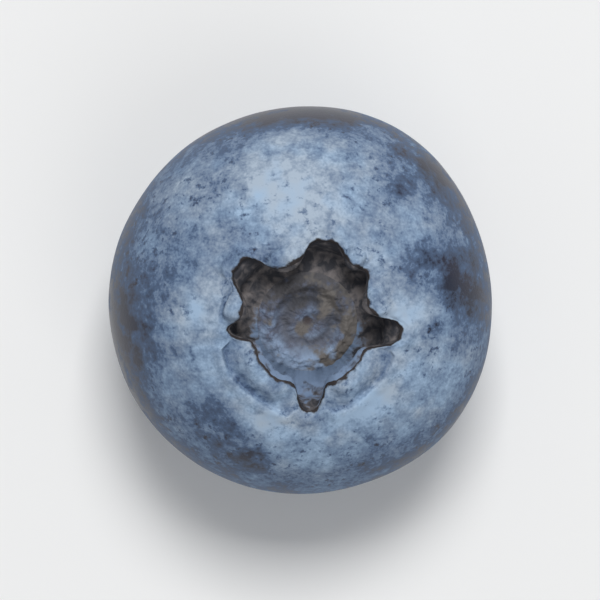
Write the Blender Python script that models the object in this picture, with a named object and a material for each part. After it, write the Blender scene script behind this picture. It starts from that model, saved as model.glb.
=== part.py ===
"""A highbush blueberry, modelled as the single body that the fruit grew as.

Units are metres and +Z is up. The berry stands on its stem end, with the crown on top. The origin is the
middle of its outline, on the surface that it rests on.

The skin is one closed sheet of meridians. Each meridian starts at the middle of the stem scar, runs down
to the rest ring, up over the equator to the crown, over a calyx lobe and in under it, and ends at the
middle of the disc. A meridian never leaves its own half plane, so the sheet can't cross itself.

The calyx has five lobes, folded in over the cup. The lobe on the +X +Y side is torn in two.
"""
import math
from collections import namedtuple

import bmesh
import bpy
from mathutils import Matrix, Vector
from mathutils.geometry import interpolate_bezier

MM = 0.001

# Driving dimensions of the fruit
BERRY_RADIUS = 7.75 * MM
EQUATOR_HEIGHT = 5.95 * MM
SHOULDER_RISE = 6.3 * MM
ROUNDNESS = 2.2
LEAN_ANGLE = math.radians(11.0)
LEAN_TOWARDS = math.radians(-73.0)
LEAN_FOOT = 1.0 * MM

# The outline from above is slightly out of round: waves of count, share of the radius and peak angle
OUTLINE_WAVES = (
    (2, 0.006, math.radians(76.0)),
    (3, 0.008, math.radians(-42.0)),
    (4, 0.006, math.radians(-30.0)),
)

# The stem end, with heights above the surface that the berry rests on
REST_RING_OUTER = 3.5 * MM
REST_RING_INNER = 2.5 * MM
SCAR_RADIUS = 1.55 * MM
SCAR_LIP_HEIGHT = 0.45 * MM
SCAR_FLOOR_HEIGHT = 0.85 * MM
SCAR_EDGE_WIDTH = 0.35 * MM
SCAR_EDGE_DROP = 0.05 * MM
VEIN_RADIUS = 0.45 * MM
VEIN_DROP = 0.15 * MM

# Between the scar's lip and the rest ring: how far out the slope bends, and how high it still is there
DIP_PLACE = 0.45
DIP_SHARE = 0.55

# The crown, with heights above the level where it leaves the shoulder
CROWN_FOOT_RADIUS = 4.6 * MM
CROWN_FOOT_SWELL = 0.24 * MM
RIM_HEIGHT = 0.42 * MM
RIM_THICKNESS = 0.32 * MM
CLEFT_RIM = 0.16 * MM
CLEFT_CREST = 0.10 * MM

# The fold behind the lobes, where the crease runs
FOLD_RADIUS = 3.42 * MM
FOLD_HEIGHT = 0.44 * MM
FOLD_RISE = 0.08 * MM
FOLD_WIDTH = 0.18 * MM

# A lobe across its middle, from the crest inwards to its edge and outwards to its flank
LOBE_BREADTH = 0.62 * MM
LOBE_THICKNESS = 0.45 * MM
LOBE_DROOP = 0.09 * MM
FLANK_WIDTH = 0.30 * MM
FLANK_SHARE = 0.80
BROW_PLACE = 0.65
EDGE_SHARE = 0.45

# The cup under the lobes: where its roof begins, and its wall from the roof down to the groove
ROOF_PLACE = 0.25
CUP_RADIUS = 3.0 * MM
CUP_DRAFT = 0.12 * MM
WALL_TOP_SHARE = 0.35
WALL_FOOT_SHARE = 0.85
GROOVE_PLACE = 0.55
GROOVE_HEIGHT = -1.05 * MM

# The disc at the bottom of the cup, and the scar of the style at its middle
DISC_RADIUS = 1.95 * MM
DISC_HEIGHT = -0.72 * MM
DISC_EDGE = 0.30 * MM
DISC_EDGE_DROP = 0.10 * MM
DISC_RIDGE_RADIUS = 1.45 * MM
DISC_RIDGE_RISE = 0.05 * MM
DISC_HOLLOW = 0.24 * MM
HOLLOW_PLACE = 0.45
STYLE_RING_RADIUS = 0.52 * MM
STYLE_RING_DEPTH = 0.12 * MM
STYLE_PIT_RADIUS = 0.22 * MM
STYLE_PIT_DEPTH = 0.32 * MM
STYLE_PIT_TAPER = 0.55

# The calyx lobes, anticlockwise from above: the angle, reach and width of the cleft where a lobe starts,
# and of the lobe itself the reach of its tip, its height, the depth of the crease behind it, and its
# fullness, which is 2 for an arc and more for a squarer lobe. The first and the last are one torn lobe
Lobe = namedtuple("Lobe", "cleft_angle cleft_reach cleft_width tip_reach height crease fullness")
LOBES = (
    Lobe(44.0, 3.00 * MM, 0.40 * MM, 2.75 * MM, 0.85 * MM, 0.00 * MM, 2.1),
    Lobe(78.5, 3.35 * MM, 1.10 * MM, 2.40 * MM, 0.95 * MM, 0.00 * MM, 2.8),
    Lobe(139.0, 3.65 * MM, 0.90 * MM, 2.45 * MM, 0.90 * MM, 0.12 * MM, 2.2),
    Lobe(182.5, 3.10 * MM, 0.35 * MM, 2.05 * MM, 0.80 * MM, 0.26 * MM, 9.0),
    Lobe(271.0, 3.25 * MM, 0.70 * MM, 2.05 * MM, 0.80 * MM, 0.22 * MM, 8.0),
    Lobe(355.5, 3.50 * MM, 0.80 * MM, 2.20 * MM, 1.00 * MM, 0.00 * MM, 2.5),
)
FULL_TURN = 360.0

# How far from a cleft towards a lobe's middle the lobe and its crease reach their full height and depth
LOBE_SHOULDER = 0.65
CREASE_END = 0.22

# The angles over which the star's corners are rounded
CORNER_ROUNDING = (-4.0, -2.0, 0.0, 2.0, 4.0)

# How finely the sheet is divided, and how far the meridians bunch up at the clefts, from 0 to 1
BUNCHING = 0.5
SEGMENT_ANGLE = 4.5
SIDE_RINGS = 14
LOBE_STEPS = 2
SHARP_EDGE_ANGLE = math.radians(50.0)

# The finish that each stretch of a meridian has
SKIN, DRY_CALYX, DISC, STEM_SCAR = range(4)

# One place on the sheet: its distance from the middle line, its height and its finish
Place = namedtuple("Place", "radius height finish")


def mix(first, second, share):
    """The value that lies the given share of the way from the first to the second."""
    return first + (second - first) * share


def smoothstep(value):
    """Ease from 0 to 1 as the value goes from 0 to 1."""
    value = min(max(value, 0.0), 1.0)
    return value * value * (3.0 - 2.0 * value)


def rounded(places, steps):
    """A smooth line through the places, with each stretch cut in so many steps."""
    knots = [Vector((place.radius, place.height, 0.0)) for place in places]
    befores = knots[:1] + knots[:-1]
    afters = knots[1:] + knots[-1:]
    slopes = [(after - before).normalized() for before, after in zip(befores, afters)]
    line = [places[0]]
    for index in range(len(knots) - 1):
        start, end = knots[index], knots[index + 1]
        pull = (end - start).length / 3.0
        handles = start + slopes[index] * pull, end - slopes[index + 1] * pull
        for point in interpolate_bezier(start, *handles, end, steps + 1)[1:]:
            line.append(Place(point.x, point.y, places[index + 1].finish))
    return line


def shoulder_height(radius):
    """Height of the rounded body over the surface it rests on, above the equator, at a radius."""
    share = (1.0 - (radius / BERRY_RADIUS) ** ROUNDNESS) ** (1.0 / ROUNDNESS)
    return EQUATOR_HEIGHT + SHOULDER_RISE * share


def stem_end():
    """The scar's floor, its lip and the hollow round it, down to the flat rest ring."""
    return [
        Place(VEIN_RADIUS, SCAR_FLOOR_HEIGHT, STEM_SCAR),
        Place(SCAR_RADIUS - SCAR_EDGE_WIDTH, SCAR_FLOOR_HEIGHT - SCAR_EDGE_DROP, STEM_SCAR),
        Place(SCAR_RADIUS, SCAR_LIP_HEIGHT, STEM_SCAR),
        Place(mix(SCAR_RADIUS, REST_RING_INNER, DIP_PLACE), SCAR_LIP_HEIGHT * DIP_SHARE, SKIN),
        Place(REST_RING_INNER, 0.0, SKIN),
    ]


def side():
    """The round side, from the outer edge of the rest ring to the foot of the crown."""
    start = math.acos((REST_RING_OUTER / BERRY_RADIUS) ** (ROUNDNESS / 2.0))
    end = math.acos((CROWN_FOOT_RADIUS / BERRY_RADIUS) ** (ROUNDNESS / 2.0))
    base_drop = EQUATOR_HEIGHT / math.sin(start) ** (2.0 / ROUNDNESS)
    line = []
    for step in range(SIDE_RINGS + 1):
        turn = mix(-start, end, step / SIDE_RINGS)
        radius = BERRY_RADIUS * math.cos(turn) ** (2.0 / ROUNDNESS)
        rise = abs(math.sin(turn)) ** (2.0 / ROUNDNESS)
        height = EQUATOR_HEIGHT + (SHOULDER_RISE * rise if turn > 0.0 else -base_drop * rise)
        line.append(Place(radius, height, SKIN))
    return line


def lobe_at(angle):
    """The lobe at an angle in degrees, and how far across it the angle lies, from cleft to cleft."""
    starts = [lobe.cleft_angle for lobe in LOBES] + [LOBES[0].cleft_angle + FULL_TURN]
    angle = starts[0] + (angle - starts[0]) % FULL_TURN
    index = max(number for number in range(len(LOBES)) if starts[number] <= angle)
    lobe, following = LOBES[index], LOBES[(index + 1) % len(LOBES)]
    start = starts[index] + math.degrees(lobe.cleft_width / 2.0 / CUP_RADIUS)
    end = starts[index + 1] - math.degrees(following.cleft_width / 2.0 / CUP_RADIUS)
    return index, min(max((angle - start) / (end - start), 0.0), 1.0)


def star_reach(angle):
    """How far from the crown's middle the edge of a lobe lies: a star with blunt points."""
    index, across = lobe_at(angle)
    lobe, following = LOBES[index], LOBES[(index + 1) % len(LOBES)]
    cleft_reach = mix(lobe.cleft_reach, following.cleft_reach, across)
    return mix(cleft_reach, lobe.tip_reach, 1.0 - abs(2.0 * across - 1.0) ** lobe.fullness)


def lobe_reach(angle):
    """The reach of the lobes' edge with the star's corners rounded."""
    return sum(star_reach(angle + turn) for turn in CORNER_ROUNDING) / len(CORNER_ROUNDING)


def crown(angle):
    """The meridian over a lobe, or between two, and down into the cup to the groove round the disc."""
    index, across = lobe_at(angle)
    lobe = LOBES[index]
    reach = lobe_reach(angle)
    middle = 1.0 - abs(2.0 * across - 1.0)
    swell, behind = smoothstep(middle / LOBE_SHOULDER), smoothstep(middle / CREASE_END)
    crest = mix(reach + CLEFT_RIM, lobe.tip_reach + LOBE_BREADTH, swell)
    top = mix(RIM_HEIGHT, lobe.height, swell)
    thickness = mix(RIM_THICKNESS, LOBE_THICKNESS, swell)
    fold = mix(reach + CLEFT_RIM * 2.0, FOLD_RADIUS, behind)
    valley = mix(RIM_HEIGHT, FOLD_HEIGHT + FOLD_RISE - lobe.crease, behind)
    flank = crest + mix(CLEFT_CREST, FLANK_WIDTH, swell), mix(RIM_HEIGHT, lobe.height * FLANK_SHARE, swell)
    foot = shoulder_height(CROWN_FOOT_RADIUS)
    outline = [
        (CROWN_FOOT_RADIUS, 0.0, SKIN),
        ((CROWN_FOOT_RADIUS + fold) / 2.0, CROWN_FOOT_SWELL, SKIN),
        (fold + FOLD_WIDTH, mix(RIM_HEIGHT, FOLD_HEIGHT, behind), SKIN),
        (fold, valley, SKIN),
        (*flank, SKIN),
        (crest, top, SKIN),
        (mix(crest, reach, BROW_PLACE), top - LOBE_DROOP, SKIN),
        (reach, top - LOBE_DROOP - thickness * EDGE_SHARE, DRY_CALYX),
        (mix(reach, CUP_RADIUS, ROOF_PLACE), top - thickness, DRY_CALYX),
        (CUP_RADIUS, GROOVE_HEIGHT * WALL_TOP_SHARE, DRY_CALYX),
        (CUP_RADIUS - CUP_DRAFT, GROOVE_HEIGHT * WALL_FOOT_SHARE, DRY_CALYX),
        (mix(CUP_RADIUS, DISC_RADIUS, GROOVE_PLACE), GROOVE_HEIGHT, DRY_CALYX),
    ]
    return [Place(radius, foot + height, finish) for radius, height, finish in outline]


def disc():
    """The shallow bowl inside the crown, with the ring and the pit that the style left."""
    level = shoulder_height(CROWN_FOOT_RADIUS) + DISC_HEIGHT
    outline = [
        (DISC_RADIUS, -DISC_EDGE_DROP, DRY_CALYX),
        (DISC_RADIUS - DISC_EDGE, 0.0, DISC),
        (DISC_RIDGE_RADIUS, DISC_RIDGE_RISE, DISC),
        (mix(DISC_RIDGE_RADIUS, STYLE_RING_RADIUS, HOLLOW_PLACE), -DISC_HOLLOW, DISC),
        (STYLE_RING_RADIUS, -STYLE_RING_DEPTH, DISC),
        (STYLE_PIT_RADIUS, -DISC_HOLLOW, DISC),
        (STYLE_PIT_RADIUS * STYLE_PIT_TAPER, -STYLE_PIT_DEPTH, DISC),
    ]
    return [Place(radius, level + height, finish) for radius, height, finish in outline]


def meridian(angle):
    """Every place along the sheet at an angle in degrees, from the stem scar to the disc."""
    top = rounded(crown(angle), LOBE_STEPS)
    return stem_end() + side() + top[1:] + disc()


def segment_angles():
    """The meridians' angles in degrees, closer together towards the clefts."""
    angles = []
    starts = [lobe.cleft_angle for lobe in LOBES] + [LOBES[0].cleft_angle + FULL_TURN]
    for start, end in zip(starts, starts[1:]):
        count = round((end - start) / SEGMENT_ANGLE)
        for step in range(count):
            even = step / count
            bunched = 0.5 - 0.5 * math.cos(math.pi * even)
            angles.append(mix(start, end, mix(even, bunched, BUNCHING)))
    return angles


def out_of_round(radius, angle):
    """The radius with the outline's waves in it, which fade towards the middle line."""
    swell = sum(share * math.cos(count * (angle - peak)) for count, share, peak in OUTLINE_WAVES)
    return radius * (1.0 + swell * (radius / BERRY_RADIUS) ** 2)


def lean(point):
    """The point after the fruit has bent over a little: its foot stays level and its crown turns."""
    crown_height = shoulder_height(CROWN_FOOT_RADIUS)
    share = smoothstep((point.z - LEAN_FOOT) / (crown_height - LEAN_FOOT))
    hinge = Vector((-math.sin(LEAN_TOWARDS), math.cos(LEAN_TOWARDS), 0.0))
    middle = Vector((0.0, 0.0, EQUATOR_HEIGHT))
    return middle + Matrix.Rotation(LEAN_ANGLE * share, 3, hinge) @ (point - middle)


def place_point(radius, height, angle):
    """A place on the sheet as a point of the leaning, slightly uneven fruit."""
    reach = out_of_round(radius, angle)
    return lean(Vector((reach * math.cos(angle), reach * math.sin(angle), height)))


def centring(points):
    """The level move that brings the middle of the outline over the origin."""
    xs = [point.x for point in points]
    ys = [point.y for point in points]
    return Vector((-(min(xs) + max(xs)) / 2.0, -(min(ys) + max(ys)) / 2.0, 0.0))


def berry_mesh():
    """The closed sheet: a ring of corners for each place, and a point at the middle of each end."""
    angles = segment_angles()
    lines = [meridian(angle) for angle in angles]
    turns = [math.radians(angle) for angle in angles]
    points = [place_point(line[row].radius, line[row].height, turn)
              for row in range(len(lines[0])) for line, turn in zip(lines, turns)]
    scar_middle = place_point(0.0, SCAR_FLOOR_HEIGHT - VEIN_DROP, 0.0)
    pit_height = shoulder_height(CROWN_FOOT_RADIUS) + DISC_HEIGHT - STYLE_PIT_DEPTH
    pit_middle = place_point(0.0, pit_height, 0.0)
    move = centring(points)

    bm = bmesh.new()
    corners = [bm.verts.new(point + move) for point in points]
    count = len(angles)
    rings = [corners[start:start + count] for start in range(0, len(corners), count)]
    finishes = [place.finish for place in lines[0]]
    for lower, upper, finish in zip(rings, rings[1:], finishes[1:]):
        for here in range(count):
            after = (here + 1) % count
            face = bm.faces.new((lower[here], lower[after], upper[after], upper[here]))
            face.material_index = finish
    close_end(bm, rings[0], scar_middle + move, STEM_SCAR)
    close_end(bm, rings[-1], pit_middle + move, DISC)
    bmesh.ops.recalc_face_normals(bm, faces=bm.faces)
    for face in bm.faces:
        face.smooth = True

    mesh = bpy.data.meshes.new("berry")
    bm.to_mesh(mesh)
    bm.free()
    mesh.set_sharp_from_angle(angle=SHARP_EDGE_ANGLE)
    return mesh


def close_end(bm, ring, middle, finish):
    """Fill a ring of corners with a fan of faces round its middle."""
    centre = bm.verts.new(middle)
    for here, after in zip(ring, ring[1:] + ring[:1]):
        face = bm.faces.new((here, after, centre))
        face.material_index = finish


def linear(hex_colour):
    """A hex colour of the picture's kind as linear red, green, blue and alpha."""
    parts = [int(hex_colour[start:start + 2], 16) / 255.0 for start in (0, 2, 4)]
    return [part / 12.92 if part <= 0.04045 else ((part + 0.055) / 1.055) ** 2.4 for part in parts] + [1.0]


def finish_material(name, hex_colour, roughness):
    """A plain finish with one colour and one roughness."""
    material = bpy.data.materials.new(name)
    material.use_nodes = True
    shader = material.node_tree.nodes["Principled BSDF"]
    shader.inputs["Base Color"].default_value = linear(hex_colour)
    shader.inputs["Roughness"].default_value = roughness
    shader.inputs["Metallic"].default_value = 0.0
    return material


def bloomed_skin():
    """Dark skin under a dusty blue bloom of wax."""
    return finish_material("bloomed_skin", "74879F", 0.6)


def dry_calyx():
    """The dark, dried inner side of the lobes and of the cup."""
    return finish_material("dry_calyx", "3A3335", 0.75)


def calyx_disc():
    """The brownish lavender disc inside the crown."""
    return finish_material("calyx_disc", "676975", 0.65)


def stem_scar():
    """The dry tan scar that the stem left."""
    return finish_material("stem_scar", "6B5A4A", 0.85)


def clear_scene():
    """Remove whatever the scene holds."""
    for thing in list(bpy.data.objects):
        bpy.data.objects.remove(thing)


def main():
    """Build the berry and put it in the scene."""
    clear_scene()
    mesh = berry_mesh()
    for make in (bloomed_skin, dry_calyx, calyx_disc, stem_scar):
        mesh.materials.append(make())
    berry = bpy.data.objects.new("berry", mesh)
    bpy.context.scene.collection.objects.link(berry)


main()
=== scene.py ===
"""A highbush blueberry, dressed for a studio picture taken from straight above.

The berry grew in one piece, so it is one piece here too: a fine skin in place of the frame's faceted solid.
Its form is a closed sheet of meridians, which run from the middle of the stem scar, over the rest ring, the
round wall and the calyx lobes, to the middle of the disc. Three sub-assemblies draw them from the bottom up:
the stem end, the fruit wall and the crown. Each stretch of the sheet has the finish of its own tissue.

Lengths are in metres, and angles round the crown in degrees, anticlockwise from above. +Z is up, +X is the
picture's right and +Y its top.
"""

import logging
import math
from dataclasses import dataclass, field
from enum import Enum, IntEnum
from itertools import accumulate
from typing import Any, NamedTuple

import bpy
from mathutils import Matrix, Vector, noise
from mathutils.geometry import interpolate_bezier


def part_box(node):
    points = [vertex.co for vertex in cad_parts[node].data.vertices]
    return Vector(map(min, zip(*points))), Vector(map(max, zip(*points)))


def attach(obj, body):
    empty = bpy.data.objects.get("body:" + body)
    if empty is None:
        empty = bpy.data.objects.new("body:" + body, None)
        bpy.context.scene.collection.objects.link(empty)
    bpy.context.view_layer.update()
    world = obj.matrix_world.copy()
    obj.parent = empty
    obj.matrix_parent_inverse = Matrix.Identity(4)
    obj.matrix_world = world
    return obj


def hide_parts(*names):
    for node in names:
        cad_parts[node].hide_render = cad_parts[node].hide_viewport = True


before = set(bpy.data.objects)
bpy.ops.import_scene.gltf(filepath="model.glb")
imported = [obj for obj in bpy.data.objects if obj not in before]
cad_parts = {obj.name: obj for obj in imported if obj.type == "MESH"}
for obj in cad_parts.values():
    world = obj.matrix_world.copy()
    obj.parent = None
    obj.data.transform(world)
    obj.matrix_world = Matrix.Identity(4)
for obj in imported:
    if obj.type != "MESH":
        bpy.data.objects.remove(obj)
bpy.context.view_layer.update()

MM = 0.001
FULL_TURN = 360.0
NODE = "berry"
BODY = "root"

log = logging.getLogger("blueberry")


class Tissue(IntEnum):
    """The tissues that the sheet passes over, in the order of its material slots."""

    SKIN = 0
    DRIED_CALYX = 1
    DISC = 2
    STEM_SCAR = 3


class Paint(Enum):
    """The values that each point of the sheet carries for the finishes."""

    SPOKE = "spoke"
    MARGIN = "margin_mm"
    BLOOM_AND_SHADE = "bloom_and_shade_shift"


class Seed(Enum):
    """The wavering lines of the berry, each of which has its own slice of the noise."""

    PLEATS = 1.0
    COARSE_EDGE = 3.0
    CREST = 5.0
    FINE_EDGE = 8.0


class Place(NamedTuple):
    """A place on a meridian.

    Attributes:
        radius: distance from the middle line.
        height: height over the surface that the berry rests on.
        tissue: what the sheet is made of just before this place.
        crumple: how far it stands out of its even form.
        bare: the share of the bloom that is missing; in the calyx crease it stands for painted shade as well
            as worn bloom.
    """

    radius: float
    height: float
    tissue: Tissue
    crumple: float = 0.0
    bare: float = 0.0


def mix(first: float, second: float, share: float) -> float:
    """Give the value that lies a share of the way from the first to the second."""
    return first + (second - first) * share


def smoothstep(value: float) -> float:
    """Ease from 0 to 1 as the value goes from 0 to 1."""
    value = min(max(value, 0.0), 1.0)
    return value * value * (3.0 - 2.0 * value)


def rounded(places: list[Place], steps: int) -> list[Place]:
    """Draw a smooth line through the places.

    Args:
        places: the places that the line passes.
        steps: how many steps each stretch between two of them is cut in.

    Returns:
        The places along the line, where each stretch has the tissue of the place that it ends at.
    """
    knots = [Vector((place.radius, place.height, 0.0)) for place in places]
    slopes = [(after - before).normalized()
              for before, after in zip(knots[:1] + knots[:-1], knots[1:] + knots[-1:])]
    line = [places[0]]
    for index, (start, end) in enumerate(zip(places, places[1:])):
        pull = (knots[index + 1] - knots[index]).length / 3.0
        handles = knots[index] + slopes[index] * pull, knots[index + 1] - slopes[index + 1] * pull
        curve = interpolate_bezier(knots[index], *handles, knots[index + 1], steps + 1)
        for step, point in enumerate(curve[1:], 1):
            line.append(Place(point.x, point.y, end.tissue, mix(start.crumple, end.crumple, step / steps),
                              mix(start.bare, end.bare, step / steps)))
    return line


def on_circle(angle: float) -> Vector:
    """Give the point of the unit circle at an angle in degrees."""
    return Vector((math.cos(math.radians(angle)), math.sin(math.radians(angle)), 0.0))


def uneven(angle: float, radius: float, grain: float, seed: Seed) -> float:
    """Give a wavering value that closes on itself round a circle.

    Args:
        angle: place on the circle, in degrees.
        radius: the circle's radius.
        grain: length of the wavering along the circle.
        seed: which of the wavering lines.

    Returns:
        A value that is mostly between -0.5 and 0.5.
    """
    return noise.noise(on_circle(angle) * (radius / grain) + Vector((0.0, 0.0, seed.value)))


@dataclass(frozen=True)
class FruitWall:
    """The round wall of the fruit, a little flatter than a ball."""

    radius: float = 7.75 * MM
    equator_height: float = 5.95 * MM
    shoulder_rise: float = 6.3 * MM
    roundness: float = 2.2
    rings: int = 84

    def shoulder_height(self, radius: float) -> float:
        """Give the height of the wall over the equator at a radius."""
        share = (1.0 - (radius / self.radius) ** self.roundness) ** (1.0 / self.roundness)
        return self.equator_height + self.shoulder_rise * share

    def turn_at(self, radius: float) -> float:
        """Give the turn, in radians from the equator, at which the wall has a radius."""
        return math.acos((radius / self.radius) ** (self.roundness / 2.0))

    def meridian(self, foot_radius: float, top_radius: float) -> list[Place]:
        """Draw the wall from the surface that the berry rests on up to the crown.

        Args:
            foot_radius: radius at the foot, where the height is zero.
            top_radius: radius where the crown begins.

        Returns:
            The places along the wall.
        """
        start, end = self.turn_at(foot_radius), self.turn_at(top_radius)
        base_drop = self.equator_height / math.sin(start) ** (2.0 / self.roundness)
        line = []
        for step in range(self.rings + 1):
            turn = mix(-start, end, step / self.rings)
            radius = self.radius * math.cos(turn) ** (2.0 / self.roundness)
            rise = abs(math.sin(turn)) ** (2.0 / self.roundness)
            rise *= self.shoulder_rise if turn > 0.0 else -base_drop
            line.append(Place(radius, self.equator_height + rise, Tissue.SKIN))
        return line


@dataclass(frozen=True)
class StemEnd:
    """The scar that the stem left, in a hollow inside the flat ring that the berry rests on."""

    ring_outer: float = 3.5 * MM
    ring_inner: float = 2.5 * MM
    scar_radius: float = 1.55 * MM
    lip_height: float = 0.45 * MM
    floor_height: float = 0.85 * MM
    edge_width: float = 0.35 * MM
    edge_drop: float = 0.05 * MM
    vein_radius: float = 0.45 * MM
    vein_bends: tuple[float, float, float] = (0.1, 0.7, 1.2)
    vein_drop: float = 0.15 * MM
    vein_rise: float = 0.03 * MM
    dip_place: float = 0.45
    dip_share: float = 0.55
    lip_bare: float = 0.8
    dip_bare: float = 0.3
    crumple: float = 0.06 * MM
    steps: int = 7

    def meridian(self) -> list[Place]:
        """Draw the scar from the bundle of veins at its middle out to the rest ring.

        Returns:
            The places along the scar, from the middle outwards.
        """
        bottom, floor, lip = self.floor_height - self.vein_drop, self.floor_height, self.scar_radius
        first, second, third = (self.vein_radius * bend for bend in self.vein_bends)
        dip = mix(lip, self.ring_inner, self.dip_place)
        scar, skin = Tissue.STEM_SCAR, Tissue.SKIN
        return rounded([
            Place(first, bottom, scar),
            Place(second, bottom + self.vein_rise, scar, self.crumple),
            Place(third, floor, scar, self.crumple),
            Place(lip - self.edge_width, floor - self.edge_drop, scar, self.crumple),
            Place(lip, self.lip_height, scar, self.crumple * 0.5, self.lip_bare),
            Place(dip, self.lip_height * self.dip_share, skin, 0.0, self.dip_bare),
            Place(self.ring_inner, 0.0, skin),
        ], self.steps)


@dataclass(frozen=True)
class Lobe:
    """A calyx lobe and the cleft where it starts.

    Attributes:
        cleft_angle: where the cleft is.
        cleft_reach: how far from the crown's middle the cleft cuts.
        cleft_width: of the cleft's round end.
        tip_reach: how far from the crown's middle the lobe's own tip stays.
        height: of the lobe's crest over the crown's foot.
        crease: depth of the crease behind the lobe.
        fullness: 2 for a lobe that is drawn like an arc, and more for a squarer one with narrow clefts.
    """

    cleft_angle: float
    cleft_reach: float
    cleft_width: float
    tip_reach: float
    height: float
    crease: float
    fullness: float


@dataclass(frozen=True)
class Crown:
    """The calyx: five lobes that fold in over a cup, one of them torn in two, and the disc in the cup.

    Fields named place or share are shares of the way between two radii, or of a height. The crease's shade
    and wear is the share of the bloom taken away for each millimetre of the crease's depth: painted shade in
    the crease, partly worn bloom.
    """

    wall: FruitWall
    foot_radius: float = 4.6 * MM
    foot_swell: float = 0.24 * MM
    foot_place: float = 0.50
    rim_height: float = 0.42 * MM
    rim_thickness: float = 0.32 * MM
    cleft_rim: float = 0.16 * MM
    cleft_crest: float = 0.10 * MM
    fold_radius: float = 3.42 * MM
    fold_height: float = 0.44 * MM
    fold_rise: float = 0.08 * MM
    fold_width: float = 0.18 * MM
    # The crease's painted shade, on top of worn bloom, for each millimetre of its depth.
    crease_shade_and_wear: float = 0.6
    crest_bloom: float = 0.08
    lobe_breadth: float = 0.62 * MM
    lobe_thickness: float = 0.45 * MM
    lobe_droop: float = 0.09 * MM
    flank_width: float = 0.30 * MM
    flank_share: float = 0.80
    brow_place: float = 0.65
    edge_share: float = 0.45
    roof_place: float = 0.25
    cup_radius: float = 3.0 * MM
    cup_draft: float = 0.12 * MM
    wall_top_share: float = 0.35
    wall_foot_share: float = 0.85
    groove_place: float = 0.55
    groove_height: float = -1.05 * MM
    disc_radius: float = 1.95 * MM
    disc_height: float = -0.72 * MM
    disc_edge: float = 0.30 * MM
    disc_edge_drop: float = 0.10 * MM
    disc_ridge: float = 1.45 * MM
    disc_ridge_rise: float = 0.05 * MM
    disc_hollow: float = 0.24 * MM
    hollow_place: float = 0.45
    ring_radius: float = 0.52 * MM
    ring_depth: float = 0.12 * MM
    pit_radius: float = 0.22 * MM
    pit_depth: float = 0.32 * MM
    pit_taper: float = 0.55
    pit_end_radius: float = 0.06
    pit_end_depth: float = 1.1
    ragged: float = 0.10 * MM
    coarse_grain: float = 0.7 * MM
    fine_grain: float = 0.2 * MM
    fine_share: float = 0.3
    crest_grain: float = 0.9 * MM
    crumple: float = 0.05 * MM
    shoulder: float = 0.65
    crease_end: float = 0.22
    corner_rounding: tuple[float, ...] = (-4.0, -2.0, 0.0, 2.0, 4.0)
    steps: int = 7
    lobes: tuple[Lobe, ...] = (
        Lobe(44.0, 3.00 * MM, 0.40 * MM, 2.75 * MM, 0.85 * MM, 0.00 * MM, 2.1),
        Lobe(78.5, 3.35 * MM, 1.10 * MM, 2.40 * MM, 0.95 * MM, 0.00 * MM, 2.8),
        Lobe(139.0, 3.65 * MM, 0.90 * MM, 2.45 * MM, 0.90 * MM, 0.12 * MM, 2.2),
        Lobe(182.5, 3.10 * MM, 0.35 * MM, 2.05 * MM, 0.80 * MM, 0.26 * MM, 9.0),
        Lobe(271.0, 3.25 * MM, 0.70 * MM, 2.05 * MM, 0.80 * MM, 0.22 * MM, 8.0),
        Lobe(355.5, 3.50 * MM, 0.80 * MM, 2.20 * MM, 1.00 * MM, 0.00 * MM, 2.5),
    )

    def clefts(self) -> list[float]:
        """Give the angles of the clefts, with the first one again after a full turn."""
        return [lobe.cleft_angle for lobe in self.lobes] + [self.lobes[0].cleft_angle + FULL_TURN]

    def lobe_at(self, angle: float) -> tuple[int, float]:
        """Find the lobe at an angle.

        Args:
            angle: any angle in degrees.

        Returns:
            The lobe's number, and how far across it the angle lies, from 0 at one cleft to 1 at the next.
        """
        starts = self.clefts()
        angle = starts[0] + (angle - starts[0]) % FULL_TURN
        index = max(number for number in range(len(self.lobes)) if starts[number] <= angle)
        lobe, following = self.lobes[index], self.lobes[(index + 1) % len(self.lobes)]
        start = starts[index] + math.degrees(lobe.cleft_width / 2.0 / self.cup_radius)
        end = starts[index + 1] - math.degrees(following.cleft_width / 2.0 / self.cup_radius)
        return index, min(max((angle - start) / (end - start), 0.0), 1.0)

    def sharp_reach(self, angle: float) -> float:
        """Give how far from the middle the lobes' edge lies: a star with blunt points."""
        index, across = self.lobe_at(angle)
        lobe, following = self.lobes[index], self.lobes[(index + 1) % len(self.lobes)]
        cleft_reach = mix(lobe.cleft_reach, following.cleft_reach, across)
        return mix(cleft_reach, lobe.tip_reach, 1.0 - abs(2.0 * across - 1.0) ** lobe.fullness)

    def reach(self, angle: float) -> float:
        """Give the lobes' edge with its points rounded and its dried margin ragged.

        Args:
            angle: angle round the crown.

        Returns:
            The distance from the crown's middle.
        """
        spread = self.corner_rounding
        smooth = sum(self.sharp_reach(angle + turn) for turn in spread) / len(spread)
        coarse = uneven(angle, self.cup_radius, self.coarse_grain, Seed.COARSE_EDGE)
        fine = uneven(angle, self.cup_radius, self.fine_grain, Seed.FINE_EDGE)
        return smooth + self.ragged * (coarse + self.fine_share * fine)

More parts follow.
